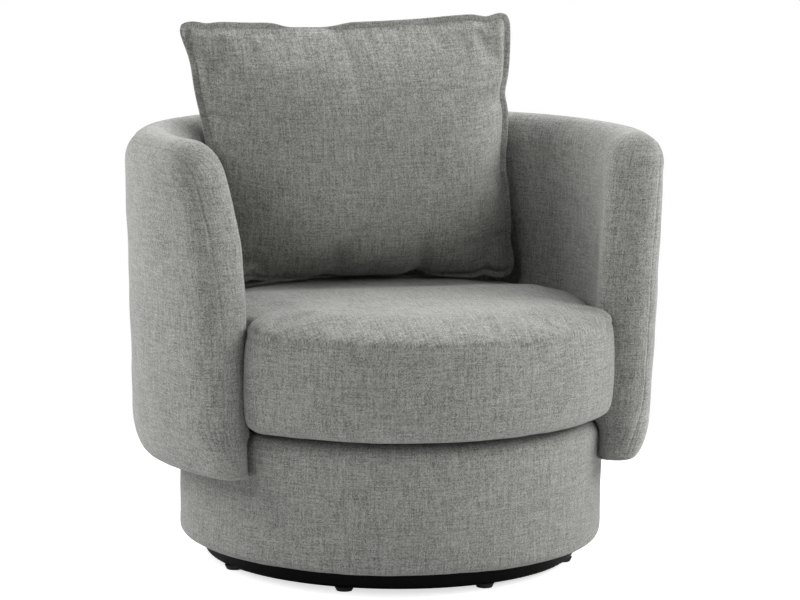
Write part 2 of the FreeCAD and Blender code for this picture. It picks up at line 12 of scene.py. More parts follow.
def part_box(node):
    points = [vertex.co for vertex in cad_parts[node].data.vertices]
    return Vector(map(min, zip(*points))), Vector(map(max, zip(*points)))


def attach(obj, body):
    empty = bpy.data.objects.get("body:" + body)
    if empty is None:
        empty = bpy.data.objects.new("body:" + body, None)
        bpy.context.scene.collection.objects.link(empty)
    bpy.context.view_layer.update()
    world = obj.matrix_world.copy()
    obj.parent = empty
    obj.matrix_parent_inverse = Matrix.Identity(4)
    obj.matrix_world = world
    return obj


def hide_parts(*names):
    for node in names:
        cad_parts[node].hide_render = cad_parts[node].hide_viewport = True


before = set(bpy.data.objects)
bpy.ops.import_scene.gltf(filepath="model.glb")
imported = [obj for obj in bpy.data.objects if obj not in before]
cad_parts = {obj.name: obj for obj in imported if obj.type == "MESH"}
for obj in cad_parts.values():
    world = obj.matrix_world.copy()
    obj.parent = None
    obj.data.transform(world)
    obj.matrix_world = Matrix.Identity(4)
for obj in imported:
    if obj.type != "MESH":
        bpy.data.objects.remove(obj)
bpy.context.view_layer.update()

# Sizes of the chair's forms
DRUM_LOW, DRUM_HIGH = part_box("drum_cover")
DRUM_R = (DRUM_HIGH.x - DRUM_LOW.x) / 2
DRUM_BOTTOM = DRUM_LOW.z - 0.0045   # its cover sags a little over the edge
DRUM_TOP = DRUM_HIGH.z
SWIVEL_Y = (DRUM_LOW.y + DRUM_HIGH.y) / 2
DRUM_EDGE = 0.025           # rounding of its upper edge
DRUM_LOW_EDGE = 0.015
DRUM_UNDERWRAP_R = 0.262    # where its cover ends under the bottom board
DRUM_LIP_R = 0.240          # where it ends on the deck

SHELL_R = 0.3761            # outside of the wall at SHELL_R_HEIGHT
SHELL_R_HEIGHT = 0.309
SHELL_FLARE = 0.030         # growth of that radius with height
SHELL_WALL = 0.084
SHELL_BOTTOM = 0.156
SHELL_TOP = 0.6150
CREST_HEIGHT = 0.046        # height of the rounded rim
ROLL_HEIGHT = 0.058         # height of the rolled lower edge
ROLL_DEPTH = 0.0200         # how far it draws in
NOSE_ANGLE = 56.3           # from the front of the chair to where each arm ends
NOSE_SQUARENESS = 2.35      # 2 would be a round nose
# Height and depth of the curve by which the arm's front edge passes into the rim
NOSE_CORNER_HEIGHT = 0.250
NOSE_CORNER_DEPTH = 0.097
NOSE_LOW_REACH = 0.0105     # how far the nose comes forward beside the drum
NOSE_LOW_TOP = DRUM_TOP + 0.01
NOSE_LOW_FADE = 0.03        # height over which it comes forward
DRUM_TOUCH = 0.0008         # between the drum's side and the wall
# The outer panel's seam on each nose: height, and how far round from the outer wall
SEAM_RIGHT = (
    (0.158, 57), (0.164, 61), (0.176, 63), (0.185, 60), (0.203, 52), (0.224, 41), (0.248, 35), (0.40, 33),
)
SEAM_LEFT = ((0.158, 72), (0.36, 70), (0.45, 60), (0.56, 58))
RIM_SEAM_Z = SHELL_TOP - 0.0135
SHELL_UNDER_EDGE = 0.0035   # rounding of the wall's lower edge

SEAT_FRONT_R = 0.330
SEAT_BACK_R = 0.2861
SEAT_BOTTOM = DRUM_TOP + 0.0003
SEAT_HEIGHT = 0.1665
SEAT_SEAM_HEIGHT = 0.1385
SEAT_BACK_ANGLE = 60.5      # where it is down to its back radius, between the arms
# Its right and its left corner: where the round front ends, the corner's angle and its radius
SEAT_CORNERS = ((53.2, 56.2, 0.3265), (51.5, 55.6, 0.3190))
SEAT_DENT = 0.0105          # how far the pillow presses it down
SEAT_DENT_FROM = -0.02      # where the dent begins, behind the swivel axis
SEAT_DENT_FADE = 0.12       # how much further back it has its full depth
SEAT_HELD_FROM = 44.0       # angle at which the arms begin to squeeze it
SEAT_HELD_FADE = 14.0       # and the angle over which they take hold
SEAT_SWELL = 0.005          # the most that air moves its cover
# Draw-in and height of its side, from the underside up to the top seam
SEAT_BAND = (
    (0.065, 0.0), (0.046, 0.0012), (0.031, 0.0034), (0.020, 0.0054), (0.012, 0.0088), (0.006, 0.0145),
    (0.0022, 0.023), (0.0, 0.0375), (-0.0015, 0.0700), (-0.0005, 0.108), (0.003, SEAT_SEAM_HEIGHT),
)
SEAT_LOW_SEAM = SEAT_BAND[4]    # where the band meets the underside
# Draw-in of its crown, and the share of its rise above the seam
SEAT_CROWN = (
    (0.009, 0.34), (0.021, 0.61), (0.040, 0.81), (0.068, 0.93), (0.104, 0.99), (0.170, 1.0), (0.270, 1.0),
)

PILLOW_THICKNESS = 0.152
PILLOW_LEAN = 10.7
PILLOW_BACK = 0.1747        # its middle, behind the swivel axis
PILLOW_MIDDLE = 0.568       # and above the floor
PILLOW_FLANGE = 0.0090      # width of its flat sewn edge
# Half of the flange's section: out from the seam, and up from its middle
FLANGE_SECTION = (
    (-0.003, 0.0012), (0.0, 0.0014), (0.0025, 0.0016), (0.0055, 0.0016), (0.0082, 0.0014), (0.0094, 0.0006),
)
FLANGE_WAVE = 0.004         # how far it curls up and down
PILLOW_SHOULDER = 0.0012    # from the flange's middle to each panel's edge
PILLOW_CLEARANCE = 0.0035   # from the cushion's top to the pillow
PILLOW_CORNER_R = 0.016
PILLOW_FULLNESS = 1.6       # 1 leaves the panels as the air alone shapes them
PILLOW_SAG = 0.028          # how far its filling has settled
# Corners of its sewn edge, from its middle: lower left, lower right, upper right, upper left
PILLOW_CORNERS = ((-0.219, -0.189), (0.2265, -0.1905), (0.2375, 0.197), (-0.263, 0.185))
# How far the bottom, right, top and left side draw in between the corners
PILLOW_BOWS = (0.002, 0.008, 0.0115, 0.0165)
# Puckers of the sewn edge: the side, the place as a share from its start, the depth and the reach
PILLOW_PUCKERS = (
    (0, 0.10, 0.005, 0.014), (0, 0.36, 0.003, 0.020), (0, 0.67, 0.008, 0.018), (0, 0.91, 0.006, 0.014),
    (1, 0.13, 0.005, 0.018), (1, 0.42, 0.005, 0.045), (1, 0.70, 0.005, 0.020), (2, 0.06, 0.006, 0.018),
    (2, 0.53, 0.003, 0.016), (2, 0.63, -0.003, 0.045), (2, 0.93, 0.003, 0.016), (3, 0.13, 0.005, 0.030),
    (3, 0.55, 0.002, 0.040),
)
# Where the panel swells over the flange: the side, the place, the reach
PILLOW_SWELLS = ((0, 0.445, 0.165), (2, 0.63, 0.042))

# Seams and slack cloth
PILLOW_EASE = 0.005         # share of extra cloth in the pillow's panels
SEAM_DEPTH = 0.0009         # how far a seam draws the cloth in
SEAM_LINE = 0.0014          # reach of the line that it draws
SEAM_VALLEY = 0.007         # reach of the shallow valley round that line
SEAM_VALLEY_SHARE = 0.35    # the valley's depth as a share of the seam's
NO_SEAM = 1.0               # distance given to places that no seam comes near
# Depth, size and seed of the wobbles in each cover
DRUM_SLACK = ((0.0008, 0.085, 3.1), (0.0004, 0.03, 7.7))
SHELL_SLACK = ((0.0011, 0.11, 1.3), (0.0006, 0.045, 5.9))
SEAT_SLACK = ((0.0011, 0.12, 2.7), (0.0005, 0.04, 6.1))
# Depth, size and seed of the puckers beside a seam, and how far from it they are deepest
SHELL_PUCKERS = (0.0004, 0.013, 9.2, 0.006)
SEAT_PUCKERS = (0.00025, 0.014, 4.4, 0.007)
PUCKER_REACH = 0.006

# The meshes' steps
SEAM_ROWS = (0.0, 0.0007, 0.0018, 0.0035, 0.006)    # distances of rows from a seam
DRUM_COLUMNS = 400
SEAT_COLUMNS = 360
SWELLING_COLUMNS = 120      # of the coarse cushion that the air is tried on
SEAT_STEP = 0.0055
WALL_STEPS = 92             # columns along half of the shell's wall
SHOULDER_STEPS = 12         # between the outer wall and the seam
NOSE_STEPS = 26             # from the seam round the nose to the inner wall
PANEL_COLUMNS = 60          # of the pillow's panels
PANEL_ROWS = 46
REFINING = 3                # times that the settled panels are made finer
# Where each piece of cloth is cut from the roll, so that no two show the same stretch
SEAT_TOP_CLOTH = 3.0
PILLOW_CLOTH = 6.0
FLANGE_CLOTH = 9.0
CLOTH_MAP = "cloth"         # UV map in metres of cloth: x along the weft, y along the warp
YARN = 0.00135              # from one thread to the next

# The photograph's camera
CAMERA_LENS = 135.0
SENSOR = 36.0
PHOTO_WIDTH = 800
FOCAL_PX = CAMERA_LENS / SENSOR * PHOTO_WIDTH
CAMERA_YAW = 17.0           # how far the camera stands to the chair's right hand, seen from in front
CAMERA_ELEVATION = 9.4
CAMERA_DISTANCE = 4.332
CAMERA_ROLL = 0.68
AIM_HEIGHT = 0.309          # the point of the swivel axis that the camera is turned from
AIM_PX = (-7.3, 39.8)       # where that point lies in the picture, right of and below its middle

# The studio's soft boxes: name, azimuth, elevation and power
SOFT_BOXES = (
    ("right_box", 73, 35, 93), ("right_front_box", 28, 35, 26), ("right_back_box", 118, 50, 76),
    ("left_box", -107, 35, 64), ("left_high_box", -107, 60, 8), ("left_front_box", -62, 35, 24),
    ("left_back_box", -150, 45, 66),
)
BOX_SIZE = 1.6
BOX_DISTANCE = 3.6
BOX_AIM_HEIGHT = 0.35
AMBIENT = 0.04
WHITE = (1, 1, 1, 1)
FLOOR_HALF = 9.0
FLOOR_LIFT = 0.70           # how much of white the camera sees on the floor besides its own light
FADE_FROM = 0.34            # distances over which the floor turns to plain white
FADE_TO = 1.1


def polar(radius, angle, z=0.0):
    """A point round the swivel axis; the angle is from the front of the chair, towards +X."""
    a = math.radians(angle)
    return Vector((radius * math.sin(a), SWIVEL_Y - radius * math.cos(a), z))


def quarter_ellipse(reach):
    """How far an ellipse of unit size has curved away at this share of its reach."""
    return 1 - math.sqrt(max(0.0, 1 - min(1.0, reach) ** 2))


def eased(share):
    """From 0 to 1 with a soft start and a soft end."""
    return share * share * (3 - 2 * share)


def new_object(name, data):
    obj = bpy.data.objects.new(name, data)
    bpy.context.scene.collection.objects.link(obj)
    return obj


# Camera

def place_camera():
    """The camera stands round the swivel axis, then pans, tilts and rolls as the photograph shows."""
    yaw = math.radians(CAMERA_YAW)
    rise = math.radians(CAMERA_ELEVATION)
    aim = Vector((0, SWIVEL_Y, AIM_HEIGHT))
    back = Vector((-math.sin(yaw) * math.cos(rise), -math.cos(yaw) * math.cos(rise), math.sin(rise)))
    right = Vector((math.cos(yaw), -math.sin(yaw), 0))
    up = right.cross(-back)
    pan = Matrix.Rotation(math.atan2(AIM_PX[0], FOCAL_PX), 3, up)
    right = pan @ right
    look = pan @ -back
    tilt = Matrix.Rotation(math.atan2(AIM_PX[1], FOCAL_PX), 3, right)
    look = tilt @ look
    up = tilt @ up
    roll = math.radians(CAMERA_ROLL)
    rolled_right = right * math.cos(roll) + up * math.sin(roll)
    rolled_up = -right * math.sin(roll) + up * math.cos(roll)
    data = bpy.data.cameras.new("photo_camera")
    data.lens = CAMERA_LENS
    data.sensor_width = SENSOR
    data.clip_end = 50
    camera = new_object("photo_camera", data)
    turn = Matrix((rolled_right, rolled_up, -look)).transposed().to_4x4()
    camera.matrix_world = Matrix.Translation(aim + back * CAMERA_DISTANCE) @ turn
    bpy.context.scene.camera = camera


# Node trees

class Nodes:
    """The node tree of a material or a world, with short calls for its usual nodes."""

    def __init__(self, owner):
        owner.use_nodes = True
        self.owner = owner
        self.tree = owner.node_tree
        self.shader = self.tree.nodes.get("Principled BSDF")

    def add(self, kind, inputs=(), **settings):
        """A new node, with values or links for its inputs, by name or in their order."""
        node = self.tree.nodes.new(kind)
        for key, value in settings.items():
            setattr(node, key, value)
        for key, value in inputs.items() if isinstance(inputs, dict) else enumerate(inputs):
            self.feed(node.inputs[key], value)
        return node

    def feed(self, socket, value):
        if isinstance(value, bpy.types.NodeSocket):
            self.tree.links.new(value, socket)
        else:
            socket.default_value = value

    def math(self, operation, a, b=0.0, c=0.0):
        return self.add("ShaderNodeMath", (a, b, c), operation=operation).outputs[0]

    def plus(self, a, b):
        return self.math("ADD", a, b)

    def times(self, a, b):
        return self.math("MULTIPLY", a, b)

    def join(self, x, y, z):
        return self.add("ShaderNodeCombineXYZ", (x, y, z)).outputs[0]

    def remap(self, value, low, high, to_low, to_high, kind="LINEAR"):
        inputs = {"Value": value, "From Min": low, "From Max": high, "To Min": to_low, "To Max": to_high}
        return self.add("ShaderNodeMapRange", inputs, interpolation_type=kind).outputs[0]

    def scaled(self, vector, scale):
        return self.add("ShaderNodeMapping", {"Vector": vector, "Scale": scale}).outputs[0]

    def noise(self, vector, scale, detail=2.0, roughness=0.5):
        inputs = {"Vector": vector, "Scale": scale, "Detail": detail, "Roughness": roughness}
        return self.add("ShaderNodeTexNoise", inputs).outputs["Fac"]

    def mix(self, share, a, b, kind="MIX"):
        node = self.add("ShaderNodeMix", {"Factor": share, "A": a, "B": b}, data_type="RGBA", blend_type=kind)
        return node.outputs["Result"]

    def bump(self, height, distance, strength):
        inputs = {"Height": height, "Distance": distance, "Strength": strength}
        return self.add("ShaderNodeBump", inputs).outputs["Normal"]

    def place(self):
        return self.add("ShaderNodeTexCoord").outputs["Object"]

    def finished(self, values):
        """The material, with these values and links on its shader."""
        for name, value in values.items():
            self.feed(self.shader.inputs[name], value)
        return self.owner

    def glow(self, kind, colour, strength):
        """A background or emission of this colour."""
        return self.add(kind, {"Color": colour, "Strength": strength}).outputs[0]

    def blend(self, share, first, second):
        """Two shaders, the second by this share."""
        return self.add("ShaderNodeMixShader", (share, first, second)).outputs[0]


def material_nodes(name):
    return Nodes(bpy.data.materials.new(name))


# Light and stage

def soft_box(name, azimuth, elevation, power):
    """A soft box turned to the chair; azimuth 0 is in front of it and 90 on its left hand, at +X."""
    data = bpy.data.lights.new(name, "AREA")
    data.shape = "RECTANGLE"
    data.size = BOX_SIZE
    data.size_y = BOX_SIZE
    data.energy = power
    lamp = new_object(name, data)
    a, e = math.radians(azimuth), math.radians(elevation)
    place = Vector((math.sin(a) * math.cos(e), -math.cos(a) * math.cos(e), math.sin(e))) * BOX_DISTANCE
    lamp.location = place
    lamp.rotation_mode = "QUATERNION"
    lamp.rotation_quaternion = (Vector((0, 0, BOX_AIM_HEIGHT)) - place).to_track_quat("-Z", "Y")


def light_the_studio():
    """Soft boxes, a faint light from all round, and a backdrop that the camera sees as white."""
    for box in SOFT_BOXES:
        soft_box(*box)
    n = Nodes(bpy.data.worlds.new("studio"))
    bpy.context.scene.world = n.owner
    n.tree.nodes.clear()
    path = n.add("ShaderNodeLightPath").outputs
    seen = n.glow("ShaderNodeBackground", WHITE, 1.0)
    ambient = n.glow("ShaderNodeBackground", (0.97, 0.985, 1.0, 1), AMBIENT)
    clear = n.math("MAXIMUM", n.math("MAXIMUM", path["Is Camera Ray"], path["Is Glossy Ray"]),
                   path["Is Transmission Ray"])
    n.add("ShaderNodeOutputWorld", {"Surface": n.blend(clear, ambient, seen)})


def make_floor():
    """A pale floor that keeps the chair's shadow and turns to plain white further out."""
    mesh = bpy.data.meshes.new("floor")
    corners = [(x * FLOOR_HALF, y * FLOOR_HALF, 0) for x, y in ((-1, -1), (1, -1), (1, 1), (-1, 1))]
    mesh.from_pydata(corners, [], [(0, 1, 2, 3)])
    floor = new_object("floor", mesh)
    n = material_nodes("floor")
    n.tree.nodes.clear()
    diffuse = n.add("ShaderNodeBsdfDiffuse", {"Color": (0.80, 0.80, 0.80, 1)}).outputs[0]
    camera_ray = n.add("ShaderNodeLightPath").outputs["Is Camera Ray"]
    lifted = n.glow("ShaderNodeEmission", WHITE, n.times(camera_ray, FLOOR_LIFT))
    pale = n.add("ShaderNodeAddShader", (diffuse, lifted)).outputs[0]
    reach = n.add("ShaderNodeVectorMath", (n.place(),), operation="LENGTH").outputs["Value"]
    far = n.times(n.remap(reach, FADE_FROM, FADE_TO, 0.0, 1.0, "SMOOTHSTEP"), camera_ray)
    white = n.glow("ShaderNodeEmission", WHITE, 1.0)
    n.add("ShaderNodeOutputMaterial", {"Surface": n.blend(far, pale, white)})
    mesh.materials.append(n.owner)


# Materials

def toned(colour, share=1.0):
    return [c * share for c in colour] + [1]


def woven_fabric(name, dark, light):
    """A plain weave of melange yarns: each thread changes its tone as it runs, and fibres fleck it. Painted
    shade darkens the colour where threads dip under each other, and painted highlight lightens their crowns.
    """
    n = material_nodes(name)
    place = n.add("ShaderNodeUVMap", uv_map=CLOTH_MAP).outputs["UV"]
    split = n.add("ShaderNodeSeparateXYZ", (place,)).outputs
    drift = n.times(n.noise(n.scaled(place, (22, 22, 1)), 1.0, 1.0), 0.9)
    x = n.plus(n.math("DIVIDE", split["X"], YARN), drift)
    y = n.plus(n.math("DIVIDE", split["Y"], YARN), drift)
    column = n.math("FLOOR", x)
    row = n.math("FLOOR", y)
    to_next, along = 7.31, 0.04     # change of tone from one thread to the next, and along a thread
    warp = n.noise(n.join(n.times(column, to_next), n.times(y, along), 0.0), 1.0, 1.0)
    weft = n.noise(n.join(n.times(x, along), n.times(row, to_next), 5.0), 1.0, 1.0)
    along, across = 0.045, 0.42     # a slub runs over many threads' widths, and is a few threads wide
    warp_slubs = n.join(n.times(x, across), n.times(y, along), 9.0)
    weft_slubs = n.join(n.times(x, along), n.times(y, across), 14.0)
    slubs = n.plus(n.noise(warp_slubs, 1.0, 2.0, 0.6), n.noise(weft_slubs, 1.0, 2.0, 0.6))
    thread = {"Vector": n.join(column, row, 0.0)}
    flecks = n.add("ShaderNodeTexWhiteNoise", thread, noise_dimensions="2D").outputs["Value"]
    over = n.math("FLOORED_MODULO", n.plus(column, row), 2.0)
    under = n.math("SUBTRACT", 1.0, over)
    clouds = n.noise(n.scaled(place, (38, 38, 1)), 1.0, 3.0, 0.6)
    tone = n.times(n.plus(n.times(warp, over), n.times(weft, under)), 0.5)
    for layer, share in ((flecks, 0.85), (warp, 0.85), (weft, 0.7), (slubs, 0.15), (clouds, 0.20)):
        tone = n.plus(tone, n.times(layer, share))
    tone = n.remap(tone, 1.06, 2.26, 0.0, 1.0)
    round_x = n.math("SINE", n.times(n.math("FRACT", x), math.pi))
    round_y = n.math("SINE", n.times(n.math("FRACT", y), math.pi))
    warp_over = n.times(round_x, n.math("MULTIPLY_ADD", round_y, 0.45, 0.55))
    weft_over = n.times(round_y, n.math("MULTIPLY_ADD", round_x, 0.45, 0.55))
    height = n.plus(n.times(warp_over, over), n.times(weft_over, under))
    # Painted shade and highlight: the colour follows the weave's height, darker where threads dip and lighter
    # on their crowns
    tone_with_painted_weave_shade = n.mix(1.0, n.mix(tone, dark, light), n.remap(height, 0.0, 0.8, 0.72, 1.08), "MULTIPLY")
    return n.finished({
        "Base Color": tone_with_painted_weave_shade, "Normal": n.bump(height, 0.0004, 0.5), "Roughness": 0.92,
        "Sheen Weight": 0.25, "Sheen Roughness": 0.45, "Specular IOR Level": 0.2})


def painted_steel():
    n = material_nodes("black_painted_steel")
    place = n.place()
    peel = n.noise(place, 900, 2.0)
    dust = n.noise(place, 35, 4.0, 0.65)
    tone = n.mix(n.remap(dust, 0.5, 0.8, 0.0, 1.0), (0.002, 0.002, 0.002, 1), (0.006, 0.006, 0.006, 1))
    return n.finished({
        "Base Color": tone,
        "Roughness": n.remap(dust, 0.3, 0.7, 0.42, 0.55), "Normal": n.bump(peel, 0.0002, 0.25),
        "Specular IOR Level": 0.06})


def metal(name, colour, roughness):
    n = material_nodes(name)
    place = n.place()
    marks = n.noise(place, 400, 4.0, 0.7)
    stains = n.noise(place, 25, 3.0)
    return n.finished({
        "Base Color": n.mix(stains, toned(colour, 0.8), toned(colour)),
        "Roughness": n.remap(marks, 0.3, 0.7, roughness * 0.8, roughness * 1.3),
        "Normal": n.bump(marks, 0.0001, 0.3), "Metallic": 1.0})


def plastic(name, colour, roughness):
    n = material_nodes(name)
    place = n.place()
    grain = n.noise(place, 1500, 2.0)
    return n.finished({
        "Base Color": n.mix(n.noise(place, 60, 2.0), toned(colour, 0.8), toned(colour)),
        "Normal": n.bump(grain, 0.0002, 0.3), "Roughness": roughness})


def wood(name, dark, light):
    n = material_nodes(name)
    grain = n.noise(n.scaled(n.place(), (12, 220, 220)), 1.0, 5.0, 0.6)
    return n.finished({
        "Base Color": n.mix(n.remap(grain, 0.3, 0.7, 0.0, 1.0), toned(dark), toned(light)),
        "Normal": n.bump(grain, 0.0004, 0.4), "Roughness": 0.75})


def plain_cloth(name, dark, light):
    """Inner cloths: webbing, deck cloth and dust cover."""
    n = material_nodes(name)
    place = n.place()
    scale = 700.0
    weft = n.noise(n.scaled(place, (scale * 0.1, scale, scale)), 1.0, 2.0)
    warp = n.noise(n.scaled(place, (scale, scale * 0.1, scale)), 1.0, 2.0)
    weave = n.plus(weft, warp)
    return n.finished({
        "Base Color": n.mix(n.remap(weave, 0.7, 1.3, 0.0, 1.0), toned(dark), toned(light)),
        "Normal": n.bump(weave, 0.0004, 0.5), "Roughness": 0.95, "Specular IOR Level": 0.2})


def dress(node, material):
    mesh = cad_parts[node].data
    mesh.materials.clear()
    mesh.materials.append(material)


# Meshes from grids

def quad(r, c, wide):
    """Numbers of the four points of a face, in a grid this many columns wide."""
    d = (c + 1) % wide
    return r * wide + c, r * wide + d, (r + 1) * wide + d, (r + 1) * wide + c


def grid_mesh(name, rows, uv=None, closed=False, keep=None):
    """A quad mesh through rows of points. uv gives a cloth place for (row, column); keep drops faces."""
    high, wide = len(rows), len(rows[0])
    points = [tuple(p) for row in rows for p in row]
    faces = []
    spots = []
    for r in range(high - 1):
        for c in range(wide if closed else wide - 1):
            if keep is not None and not keep(r, c):
                continue
            faces.append(quad(r, c, wide))
            spots.append(((r, c), (r, c + 1), (r + 1, c + 1), (r + 1, c)))
    mesh = bpy.data.meshes.new(name)
    mesh.from_pydata(points, [], faces)
    if uv is not None:
        layer = mesh.uv_layers.new(name=CLOTH_MAP)
        flat = [value for face in spots for r, c in face for value in uv(r, c)]
        layer.uv.foreach_set("vector", flat)
    return mesh


def weld(mesh):
    """Joins points that meet, and drops what is left over."""
    distance = 0.00005
    bm = bmesh.new()
    bm.from_mesh(mesh)
    bmesh.ops.remove_doubles(bm, verts=bm.verts, dist=distance)
    bmesh.ops.dissolve_degenerate(bm, edges=bm.edges, dist=distance)
    loose = [v for v in bm.verts if not v.link_faces]
    bmesh.ops.delete(bm, geom=loose, context="VERTS")
    bmesh.ops.recalc_face_normals(bm, faces=bm.faces)
    bm.to_mesh(mesh)
    bm.free()
    mesh.update()


def upholster(name, mesh, fabric, body):
    """A padded piece in its fabric, riding on its body."""
    weld(mesh)
    mesh.materials.append(fabric)
    piece = new_object(name, mesh)
    mesh.polygons.foreach_set("use_smooth", [True] * len(mesh.polygons))
    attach(piece, body)
    return piece


def wobble(grid, size, seed):
    """A smooth wobble between about -1 and 1 at each point of a grid, the same each run."""
    shift = Vector((seed, 2 * seed, -seed))
    flat = [noise.noise(Vector(p) / size + shift) * 1.6 for p in grid.reshape(-1, 3)]
    return np.array(flat).reshape(grid.shape[:2])


def slack_of(grid, wobbles):
    """How far slack cloth stands out at each point of a grid."""
    return sum(depth * wobble(grid, size, seed) for depth, size, seed in wobbles)


def normals(grid, closed=True):
    """Unit normals of a grid: across its columns, then up its rows."""
    if closed:
        across = np.roll(grid, -1, 1) - np.roll(grid, 1, 1)
    else:
        across = np.gradient(grid, axis=1)
    normal = np.cross(across, np.gradient(grid, axis=0))
    return normal / np.maximum(np.linalg.norm(normal, axis=2, keepdims=True), 1e-9)


def groove(distance, depth=SEAM_DEPTH):
    """How far the cloth is drawn in at this distance from a seam."""
    line = np.exp(-(distance / SEAM_LINE) ** 2)
    return depth * (line + SEAM_VALLEY_SHARE * np.exp(-(distance / SEAM_VALLEY) ** 2))


def puckers_of(grid, from_seam, depth, size, seed, deepest):
    """How far cloth puckers beside a seam, at each point of a grid."""
    return depth * wobble(grid, size, seed) * np.exp(-((from_seam - deepest) / PUCKER_REACH) ** 2)


def refined(grid, times, closed):
    """A grid with more rows and columns, on smooth curves through its points."""
    for axis in (0, 1):
        wraps = closed and axis == 1
        count = grid.shape[axis]
        at = np.arange(0, count if wraps else count - 1 + 1e-6, 1.0 / times)
        base = np.minimum(np.floor(at).astype(int), count - 1 if wraps else count - 2)
        t = (at - base).reshape((-1, 1, 1) if axis == 0 else (1, -1, 1))

        def pick(offset):
            index = base + offset
            index = index % count if wraps else np.clip(index, 0, count - 1)
            return np.take(grid, index, axis=axis)

        before, low, high, after = pick(-1), pick(0), pick(1), pick(2)
        grid = 0.5 * (2 * low + (high - before) * t + (2 * before - 5 * low + 4 * high - after) * t * t
                      + (3 * low - before - 3 * high + after) * t ** 3)
    return grid


def under_pressure(points, faces, pinned, pressure, frames, ease=0.0):
    """Where a closed cloth comes to rest when air presses from inside; ease is the share of extra cloth."""
    mesh = bpy.data.meshes.new("cloth")
    mesh.from_pydata([tuple(p) for p in points], [], faces)
    cloth = new_object("cloth", mesh)
    settings_of = cloth.modifiers.new("cloth", "CLOTH")
    settings = settings_of.settings
    settings.quality = 8
    settings.mass = 0.25
    settings.tension_stiffness = 40
    settings.compression_stiffness = 40
    settings.shear_stiffness = 12
    settings.bending_stiffness = 4.0
    settings.use_pressure = True
    settings.uniform_pressure_force = pressure
    settings.effector_weights.gravity = 0
    settings_of.collision_settings.use_collision = False
    settings_of.point_cache.frame_start = 1
    settings_of.point_cache.frame_end = frames
    settings.shrink_min = -ease
    group = cloth.vertex_groups.new(name="pinned")
    group.add([int(i) for i in pinned], 1.0, "REPLACE")
    settings.vertex_group_mass = "pinned"
    for frame_number in range(1, frames + 1):
        bpy.context.scene.frame_set(frame_number)
    shape = cloth.evaluated_get(bpy.context.evaluated_depsgraph_get()).data
    flat = np.empty(len(points) * 3)
    shape.vertices.foreach_get("co", flat)
    bpy.context.scene.frame_set(1)
    bpy.data.objects.remove(cloth)
    bpy.data.meshes.remove(mesh)
    return flat.reshape(-1, 3)


def capped(move, most):
    """Moves no longer than the most that a point may go."""
    length = np.linalg.norm(move, axis=-1, keepdims=True)
    return move * np.minimum(1.0, most / np.maximum(length, 1e-9))


# Drum

def drum_profile():
    """Radius and height from the underwrap, round the lower edge, up the side and over the top."""
    def rounded(r, z, radius, start):
        turns = [math.radians(start + 90 * i / 10) for i in range(11)]
        return [(r + radius * math.cos(a), z + radius * math.sin(a)) for a in turns]

    profile = [(DRUM_UNDERWRAP_R, DRUM_BOTTOM + 0.006), (DRUM_UNDERWRAP_R, DRUM_BOTTOM + 0.001),
               (DRUM_UNDERWRAP_R + 0.001, DRUM_BOTTOM), (DRUM_UNDERWRAP_R + 0.008, DRUM_BOTTOM)]
    low, high = DRUM_BOTTOM + DRUM_LOW_EDGE, DRUM_TOP - DRUM_EDGE
    side = 30
    profile += rounded(DRUM_R - DRUM_LOW_EDGE, low, DRUM_LOW_EDGE, -90)
    profile += [(DRUM_R, low + (high - low) * i / side) for i in range(1, side)]
    profile += rounded(DRUM_R - DRUM_EDGE, high, DRUM_EDGE, 0)
    profile.append((DRUM_LIP_R + 0.001, DRUM_TOP))
    profile.append((DRUM_LIP_R, DRUM_TOP - 0.0015))
    return profile


def make_drum(fabric):
    """The drum's cover, drawn tight over its padding, with one closing seam down the back."""
    profile = drum_profile()
    seam_angles = [math.degrees(d / DRUM_R) for d in SEAM_ROWS + (0.0095,)]
    rest = np.linspace(seam_angles[-1] + 0.6, 360 - seam_angles[-1] - 0.6, DRUM_COLUMNS)
    angles = list(seam_angles) + list(rest) + [360 - a for a in seam_angles[:0:-1]]
    lengths = [0.0]
    for (r0, z0), (r1, z1) in zip(profile, profile[1:]):
        lengths.append(lengths[-1] + math.hypot(r1 - r0, z1 - z0))
    grid = np.array([[polar(r, 180.0 + a, z) for a in angles] for r, z in profile])
    outward = normals(grid)
    free = np.array([[float(DRUM_UNDERWRAP_R + 0.02 < r and z < DRUM_TOP - 0.002)] for r, z in profile])
    from_seam = DRUM_R * np.radians(np.minimum(angles, 360 - np.array(angles)))[None, :]
    grid = grid + outward * ((slack_of(grid, DRUM_SLACK) - groove(from_seam)) * free)[..., None]

    def cloth(r, c):
        angle = angles[c] if c < len(angles) else 360.0
        return DRUM_R * math.radians(angle), lengths[r]

    mesh = grid_mesh("drum_upholstery", grid, cloth, closed=True)
    drum = upholster("drum_upholstery", mesh, fabric, "chair")
    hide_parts("drum_cover", "drum_foam")


# Barrel shell

def shell_outer_r(z):
    return SHELL_R + (z - SHELL_R_HEIGHT) * SHELL_FLARE


